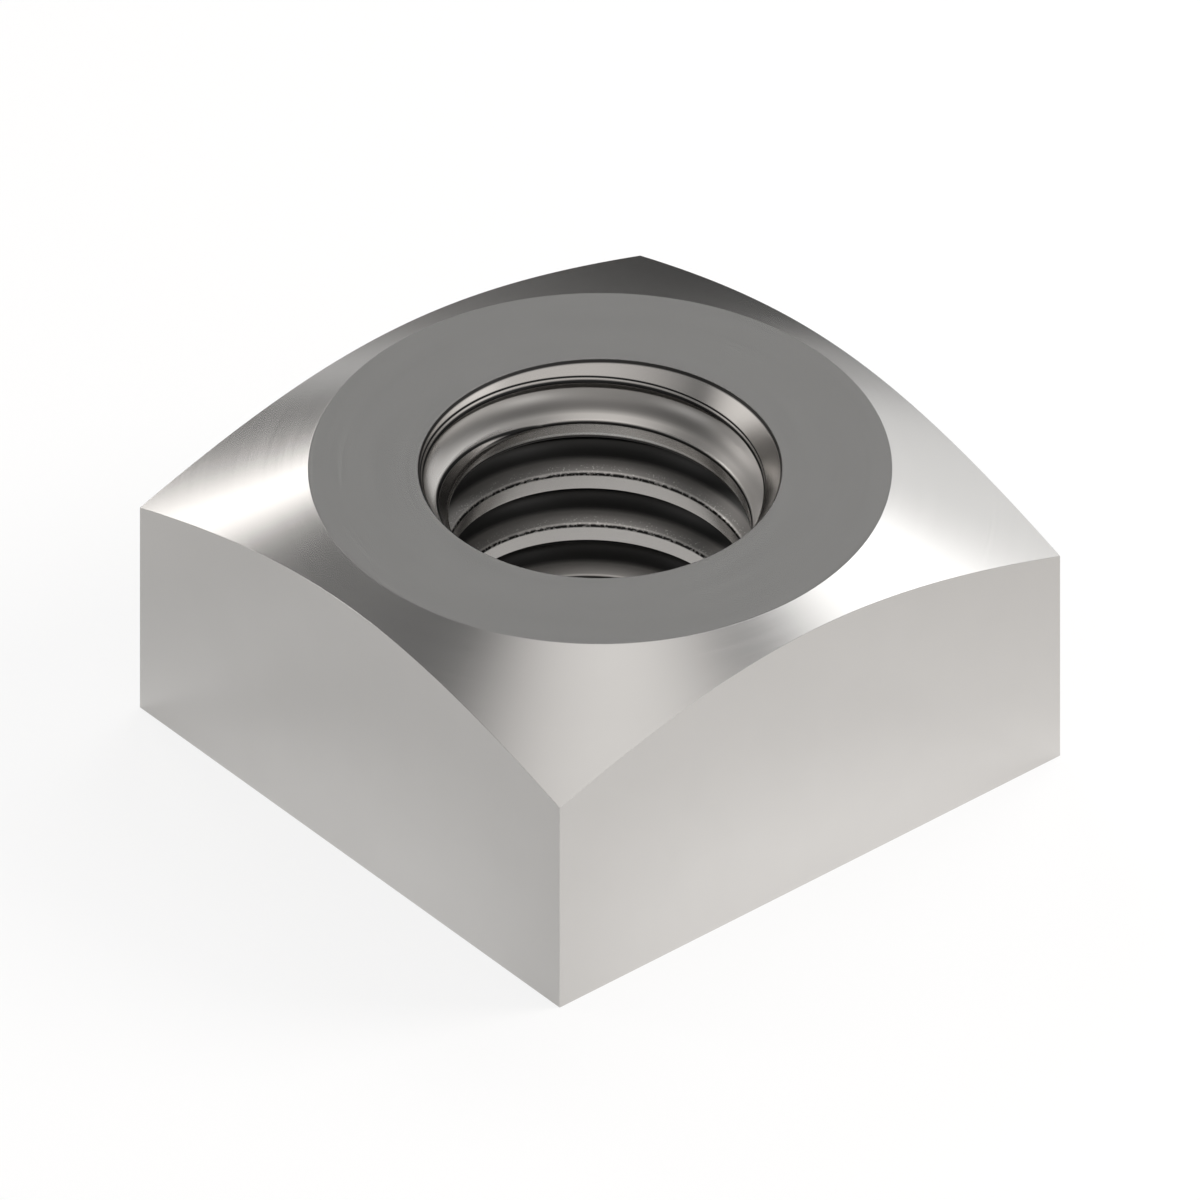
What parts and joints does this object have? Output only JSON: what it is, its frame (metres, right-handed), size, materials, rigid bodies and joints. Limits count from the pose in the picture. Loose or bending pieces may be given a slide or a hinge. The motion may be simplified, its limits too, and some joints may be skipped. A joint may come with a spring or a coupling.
{
  "type": "square nut",
  "caption": "Square steel nut with a tapped through hole, a flat bearing face and a conical chamfer that rounds the corners of the top face.",
  "frame": {"origin": "middle of the bearing face, on the axis of the threaded hole", "axes": "+Z along the hole from the bearing face to the chamfered top; X and Y square to the four wrench flats"},
  "size_m": [0.0142, 0.0142, 0.0072],
  "materials": {
    "steel": "bare machined steel with a fine satin grain, unplated and clean"
  },
  "bodies": {
    "root": {"square_nut": "steel"}
  },
  "joints": []
}
